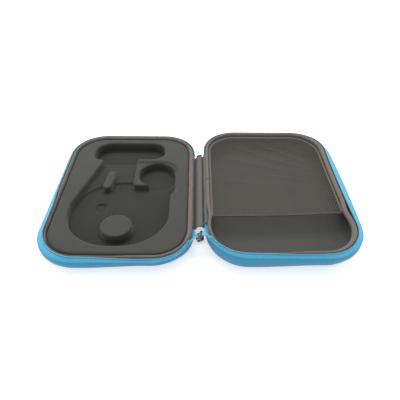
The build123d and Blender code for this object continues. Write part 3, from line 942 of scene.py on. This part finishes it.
def netTree(name, material):
    # A six-sided cell with a hole, set on every point; neighbours share their edges.
    tree, given, keys = newTree(name, ("Cell", "Hole"))
    cell = addNode(
        tree, "GeometryNodeMeshCircle", {"Vertices": 6, "Radius": given.outputs["Cell"]},
        fill_type="NGON",
    )
    inner = addNode(tree, "GeometryNodeExtrudeMesh", {"Mesh": cell.outputs[0], "Offset Scale": 0.0})
    shrunk = addNode(
        tree, "GeometryNodeScaleElements",
        {"Geometry": inner.outputs[0], "Selection": inner.outputs["Top"],
         "Scale": mathNode(tree, "DIVIDE", given.outputs["Hole"], given.outputs["Cell"])},
    )
    opened = addNode(
        tree, "GeometryNodeDeleteGeometry",
        {"Geometry": shrunk.outputs[0], "Selection": inner.outputs["Top"]}, domain="FACE",
    )
    turned = addNode(
        tree, "GeometryNodeTransform",
        {"Geometry": opened.outputs[0], "Rotation": (0, 0, math.radians(30))},
    )
    placed = addNode(
        tree, "GeometryNodeInstanceOnPoints",
        {"Points": given.outputs["Geometry"], "Instance": turned.outputs[0]},
    )
    real = addNode(tree, "GeometryNodeRealizeInstances", {"Geometry": placed.outputs[0]})
    joined = addNode(
        tree, "GeometryNodeMergeByDistance", {"Geometry": real.outputs[0], "Distance": 0.00005}
    )
    closeTree(tree, joined.outputs[0], material)
    return tree, keys


pitch = netShape["pitch"]
points = []
row = 0
y = hemAt(netBox[0]) - 1
while y < case["length"] / 2:
    x = netBox[0] + (pitch / 2 if row % 2 else 0)
    while x < netBox[3]:
        if y > hemAt(x) - 1 and insideNet(x, y, netShape["inset"] + 1.0):
            points.append(Vector((x, y, netHeight)) * mm)
        x += pitch
    y += pitch * math.sqrt(3) / 2
    row += 1
dots = bpy.data.meshes.new("netPoints")
dots.from_pydata(points, [], [])
netNodes, netKeys = netTree("netCells", cloths["netKnit"])
net = grown(
    "netPocket", dots, netNodes, netKeys,
    {"Cell": pitch / math.sqrt(3), "Hole": netShape["hole"] / math.sqrt(3)},
)
for v in net.data.vertices:
    v.co.z -= netDepth(v.co.x / mm, v.co.y / mm) * mm
thicken = net.modifiers.new("thicken", "SOLIDIFY")
thicken.thickness = netShape["thick"] * mm
thicken.offset = -1.0
thick = baked(net)
net.modifiers.clear()
net.data = thick
dress(net, cloths["netKnit"], "lid", "net_mesh", "mesh_panel")
print("net made:", len(net.data.polygons), "faces")

# ---- the net's edging and its hem ----
edgingLow, edgingHigh = bottomOf("mesh_edging"), topOf("mesh_edging")


def edgingProfile():
    # A tape folded over the net's edge: its inner side is thicker and sags with the net.
    a, w = netShape["edgingInset"], netShape["edging"]
    low, high = edgingLow - 0.6, edgingHigh
    return [
        (a, low), (a - 0.2, high - 0.6), (a + 0.1, high - 0.1), (a + w * 0.6, high),
        (a + w, high - 0.35), (a + 0.2 + w, (low + high) / 2), (a + w, low),
    ]


found = [s for s in stations(2.5, 2.0)[:-1]
         if s[0] <= edgingStop or s[0] >= edgingStart]
split = next(i for i, s in enumerate(found) if s[0] >= edgingStart)
found = found[split:] + found[:split]
rings = []
for s in found:
    ring = []
    for inset, z in edgingProfile():
        p = planPoint(s, inset + netShape["narrow"] * smooth(-s[2].x), 1)
        place = Vector((p.x, p.y, 9))
        z += 0.3 * noise.noise(place * 0.09) - netDepth(p.x, p.y) * 0.8
        ring.append(Vector((p.x, p.y, z)))
    rings.append(ring)
edging = openBand("netEdging", rings, edgingProfile())
dress(edging, cloths["edgingTape"], "lid", "net_edging", "mesh_edging")

hemRow = {"places": 90, "around": 12, "dip": 1.1, "half": 1.5, "high": 0.75, "short": 0.4}
rings = []
for i in range(hemRow["places"] + 1):
    t = i / hemRow["places"]
    long = hemBox[3] - hemBox[0] - 2 * hemRow["short"] - netShape["narrow"]
    x = hemBox[0] + hemRow["short"] + long * t
    wave = 0.35 * noise.noise(Vector((x * 0.03, 2, 1)))
    y = hemAt(x) + wave + hemRow["dip"] * math.sin(math.pi * t) * -0.6
    z = hemBox[2] + 0.5 - netDepth(x, hemAt(x) + 2) * 0.5 - hemRow["dip"] * math.sin(math.pi * t)
    ring = []
    for k in range(hemRow["around"]):
        a = 2 * math.pi * k / hemRow["around"]
        c, s = math.cos(a), math.sin(a)
        ring.append(Vector((
            x,
            y + hemRow["half"] * math.copysign(abs(c) ** 0.7, c),
            z + hemRow["high"] * math.copysign(abs(s) ** 0.8, s),
        )))
    rings.append(ring)
hem = openBand("netHem", rings)
# The hem's darker tape is painted shade along the pocket's mouth.
dress(hem, cloths["hemTapePaintedShade"], "lid", "net_edging", "mesh_hem")
line = [ring[3] + Vector((0, -0.9, 0.02)) for ring in rings[1:-1]]
sewn = grown(
    "hemStitches", pathMesh("hemLine", [line]), greyStitch, greyKeys,
    {"Pitch": 3.1, "Stitch": 2.5, "Rise": 0.35, "Thread": 0.18},
)
dress(sewn, cloths["threadGrey"], "lid", "net_edging")
print("edging and hem made")

# ---- hinge strip: a soft band with a valley at each side, sewn up behind the bindings ----
strip = {
    "band": [(-4.5, 25.4), (-4.1, 26.6), (-2.0, 28.2), (0.4, 29.0), (2.6, 29.2), (3.7, 28.6),
             (3.9, 27.6)],
    "left": [(-9.0, 28.2), (-8.7, 27.0), (-7.8, 23.6), (-6.4, 22.2), (-5.1, 23.0), (-4.2, 25.4),
             (-2.6, 26.9), (-0.6, 27.6)],
    "right": [(-0.2, 27.7), (2.2, 27.9), (3.7, 27.0), (4.8, 25.0), (5.9, 25.8), (6.4, 28.4),
              (6.7, 31.3), (7.6, 33.6), (8.6, 36.0)],
    "thick": 0.8, "places": 120, "rumple": 0.45, "rumpleScale": (0.16, 0.045),
    "fine": 0.35, "fineScale": (0.3, 0.17), "sway": 0.8, "swayScale": 0.035,
}


def ribbon(name, section, y0, y1, places, rumple, thick, seed):
    # A cloth band that runs along Y, with rumples that fade at its sewn sides.
    line = smoothLine([(x, 0, z) for x, z in section], 17)
    rings = []
    for i in range(places + 1):
        y = y0 + (y1 - y0) * i / places
        ring = []
        for k, p in enumerate(line):
            free = math.sin(math.pi * k / (len(line) - 1)) ** 0.5
            across, along = strip["rumpleScale"]
            shift = noise.noise(Vector((p.x * across, y * along, seed))) * rumple * free
            across, along = strip["fineScale"]
            fine = noise.noise(Vector((p.x * across, y * along, seed + 5)))
            shift += fine * rumple * strip["fine"] * free
            sway = noise.noise(Vector((seed, y * strip["swayScale"], 2)))
            sway = sway * rumple * strip["sway"] * free
            ring.append(Vector((p.x + sway, y, p.z + shift)))
        under = []
        for k, p in enumerate(ring):
            a, b = ring[max(k - 1, 0)], ring[min(k + 1, len(ring) - 1)]
            along = (b - a).normalized()
            down = Vector((along.z, 0, -along.x))
            under.append(p + down * thick)
        rings.append(ring + under[::-1])
    return openBand(name, rings)


farEnd, nearEnd = case["stripFar"], case["stripNear"]


band = ribbon(
    "hingeBand", strip["band"], nearEnd + 0.4, farEnd - 0.4, strip["places"], strip["rumple"],
    strip["thick"], 3,
)
dress(band, cloths["hingeCloth"], "spine", "hinge_fabric", "hinge_strip")
folds = {}
for half, section, seed in (("base", "left", 11), ("lid", "right", 23)):
    folds[half] = ribbon(
        "hingeFold" + half.capitalize(), strip[section], nearEnd, farEnd, strip["places"],
        strip["rumple"] * 0.8, strip["thick"], seed,
    )
    dress(folds[half], cloths["hingeCloth"], None, "hinge_fabric", half + "_strip_margin")
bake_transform(folds["base"])
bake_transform(folds["lid"])

# The strip's ends, turned over and sewn.
strip["hem"] = [(-4.4, 26.0), (-3.9, 27.2), (-1.8, 28.7), (0.4, 29.5), (2.5, 29.7), (3.7, 29.2),
                (4.1, 28.0)]
for name, low, high in (
    ("Near", nearEnd - 0.3, nearEnd + 2.9), ("Far", farEnd - 2.9, farEnd + 0.3),
):
    turned = ribbon("hingeHem" + name, strip["hem"], low, high, 6, 0.2, 1.3, 31)
    dress(turned, cloths["edgingTape"], "spine", "hinge_fabric", "hinge_hem_" + name.lower())
print("hinge strip made")

# ---- the tapes' joined end: each leaves its rim and runs to the slider ----
tailShape = {
    "places": 44, "across": 6, "thick": 0.9, "bulge": 0.5, "flat": (0.01, 0.028),
    "coilLift": 0.5, "coilPlaces": slice(1, 25), "coilHigh": 1.5, "coilWide": 1.1,
    "rimBend": 0.0092, "stripBend": 0.0032, "bendHigh": 0.003,  # metres
}
tailFoot = [(12.6, -107.0), (10.4, -101), (8.9, -96), (7.7, -90), (7.1, -84), (7.0, -79)]
tails = {
    "base": {
        "footHigh": 22.9,
        "free": [(-12.9, -107.4, 28.4), (-9.0, -102.0, 28.5), (-5.0, -98.0, 27.7),
                 (-3.2, -94.6, 26.6), (-4.6, -89, 24.9), (-6.4, -80, 23.9)],
        "area": 215.0,
    },
    "lid": {
        "footHigh": 30.9,
        "free": [(12.9, -107.4, 36.4), (8.6, -101.8, 35.4), (4.8, -98.4, 31.8),
                 (3.2, -94.8, 29.4), (5.0, -89, 30.2), (6.7, -80, 31.6)],
        "area": 185.0,
    },
}


def tapeTail(name, attached, free):
    places, across, thick = (tailShape[k] for k in ("places", "across", "thick"))
    low = smoothLine(attached, places)
    high = smoothLine(free, places)
    rings = []
    for i in range(places):
        along = (low[min(i + 1, places - 1)] - low[max(i - 1, 0)]).normalized()
        wide = (high[i] - low[i]).normalized()
        out = along.cross(wide).normalized() * thick / 2
        face = [low[i].lerp(high[i], k / across) for k in range(across + 1)]
        face = [
            p + Vector((0, 0, tailShape["bulge"] * math.sin(math.pi * k / across) * (i / places)))
            for k, p in enumerate(face)
        ]
        rings.append([p + out for p in face] + [p - out for p in face[::-1]])
    return openBand(name, rings), high


for half, tail in tails.items():
    side = halves[half]["side"]
    foot = [(side * x, y, tail["footHigh"]) for x, y in tailFoot]
    piece, edge = tapeTail(half + "TapeTail", foot, tail["free"])
    height = halves[half]["top"] * mm + tailShape["bendHigh"]
    bodies = ["base", "spine"] if half == "base" else ["lid", "spine"]
    bends = [(side * tailShape[k], 0, height) for k in ("rimBend", "stripBend")]
    if half == "lid":
        bodies, bends = bodies[::-1], bends[::-1]
    dress(piece, cloths["tapeRibbed"], None, "zip_tape", *(["zip_tails"] if half == "base" else []))
    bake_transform(piece)
    lift = Vector((0, 0, tailShape["coilLift"]))
    path = [p + lift for p in edge[tailShape["coilPlaces"]]]
    coil = grown(
        half + "TailCoil", pathMesh("tailLine", [path]), coilNodes, coilKeys,
        {"Pitch": zipRow["pitch"], "Wire": zipRow["wire"], "Height": tailShape["coilHigh"],
         "Width": tailShape["coilWide"]},
    )
    dress(coil, coilNylon, None, "zip_coil")
    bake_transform(coil)
print("tails made")

# ---- hard pieces that keep their CAD shape ----
for node, material in (
    ("zip_slider", sliderEnamel), ("zip_pull", pullEnamel),
    ("base_top_stop", stopAluminium), ("lid_top_stop", stopAluminium),
):
    cad[node].data.materials.clear()
    cad[node].data.materials.append(material)

# ---- floor, light and camera ----
stage = {
    "half": 6.0, "paper": 0.88, "glow": 0.6, "key": 13.8, "keySize": 0.9,
    "keyPlace": (-0.15, 0.4, 1.5), "sky": 0.86, "wall": 0.5, "wallTop": 0.1,
}


def seenDirectly(tree):
    # 1 for what the camera sees, straight or by way of metal or glass.
    ray = addNode(tree, "ShaderNodeLightPath").outputs
    seen = mathNode(tree, "ADD", ray["Is Camera Ray"], ray["Is Glossy Ray"])
    return mathNode(tree, "ADD", seen, ray["Is Transmission Ray"], use_clamp=True)


floorShape = bmesh.new()
bmesh.ops.create_grid(floorShape, x_segments=1, y_segments=1, size=stage["half"])
floor = finishMesh("floor", floorShape)
paper, tree, shader = newMaterial("floorPaper")
tree.nodes.remove(shader)
glow = mathNode(tree, "MULTIPLY", seenDirectly(tree), stage["glow"])
matt = addNode(tree, "ShaderNodeBsdfDiffuse", {"Color": (*[stage["paper"]] * 3, 1)})
lit = addNode(tree, "ShaderNodeEmission", {"Color": (1, 1, 1, 1), "Strength": glow})
both = addNode(tree, "ShaderNodeAddShader", {0: matt.outputs[0], 1: lit.outputs[0]})
tree.links.new(both.outputs[0], tree.nodes["Material Output"].inputs["Surface"])
floor.data.materials.append(paper)

world = bpy.data.worlds.new("studio")
scene.world = world
world.use_nodes = True
tree = world.node_tree
tree.nodes.clear()
# The studio's ceiling is bright and its walls are dim, so hollows stay dark.
height = heightNode(tree, addNode(tree, "ShaderNodeTexCoord").outputs["Generated"])
ceiling = rangeNode(tree, height, stage["wall"], stage["sky"], stage["wallTop"], 1.0)
level = rangeNode(tree, seenDirectly(tree), ceiling, 1.0)
back = addNode(tree, "ShaderNodeBackground", {"Color": (1, 1, 1, 1), "Strength": level})
addNode(tree, "ShaderNodeOutputWorld", {"Surface": back.outputs[0]})

key = bpy.data.lights.new("softbox", "AREA")
key.shape = "SQUARE"
key.size = stage["keySize"]
key.energy = stage["key"]
lamp = bpy.data.objects.new("softbox", key)
lamp.location = stage["keyPlace"]
lamp.rotation_euler = (-lamp.location).to_track_quat("-Z", "Y").to_euler()
scene.collection.objects.link(lamp)

# The camera was fitted to the rims of both halves.
view = {"place": (-5.2, -444.1, 382.8), "yaw": 0.8, "pitch": 40.42, "roll": 0.77, "lens": 36.42}
yaw, pitch, roll = (math.radians(view[k]) for k in ("yaw", "pitch", "roll"))
forward = Vector(
    (math.sin(yaw) * math.cos(pitch), math.cos(yaw) * math.cos(pitch), -math.sin(pitch))
)
right = Vector((math.cos(yaw), -math.sin(yaw), 0))
up = right.cross(forward)
rightRolled = right * math.cos(roll) + up * math.sin(roll)
upRolled = up * math.cos(roll) - right * math.sin(roll)
lens = bpy.data.cameras.new("camera")
lens.lens = view["lens"]
lens.sensor_width = 36.0
camera = bpy.data.objects.new("camera", lens)
turn = Matrix((rightRolled, upRolled, -forward)).transposed().to_4x4()
camera.matrix_world = Matrix.Translation(Vector(view["place"]) * mm) @ turn
scene.collection.objects.link(camera)
scene.camera = camera
scene.view_settings.view_transform = "Standard"
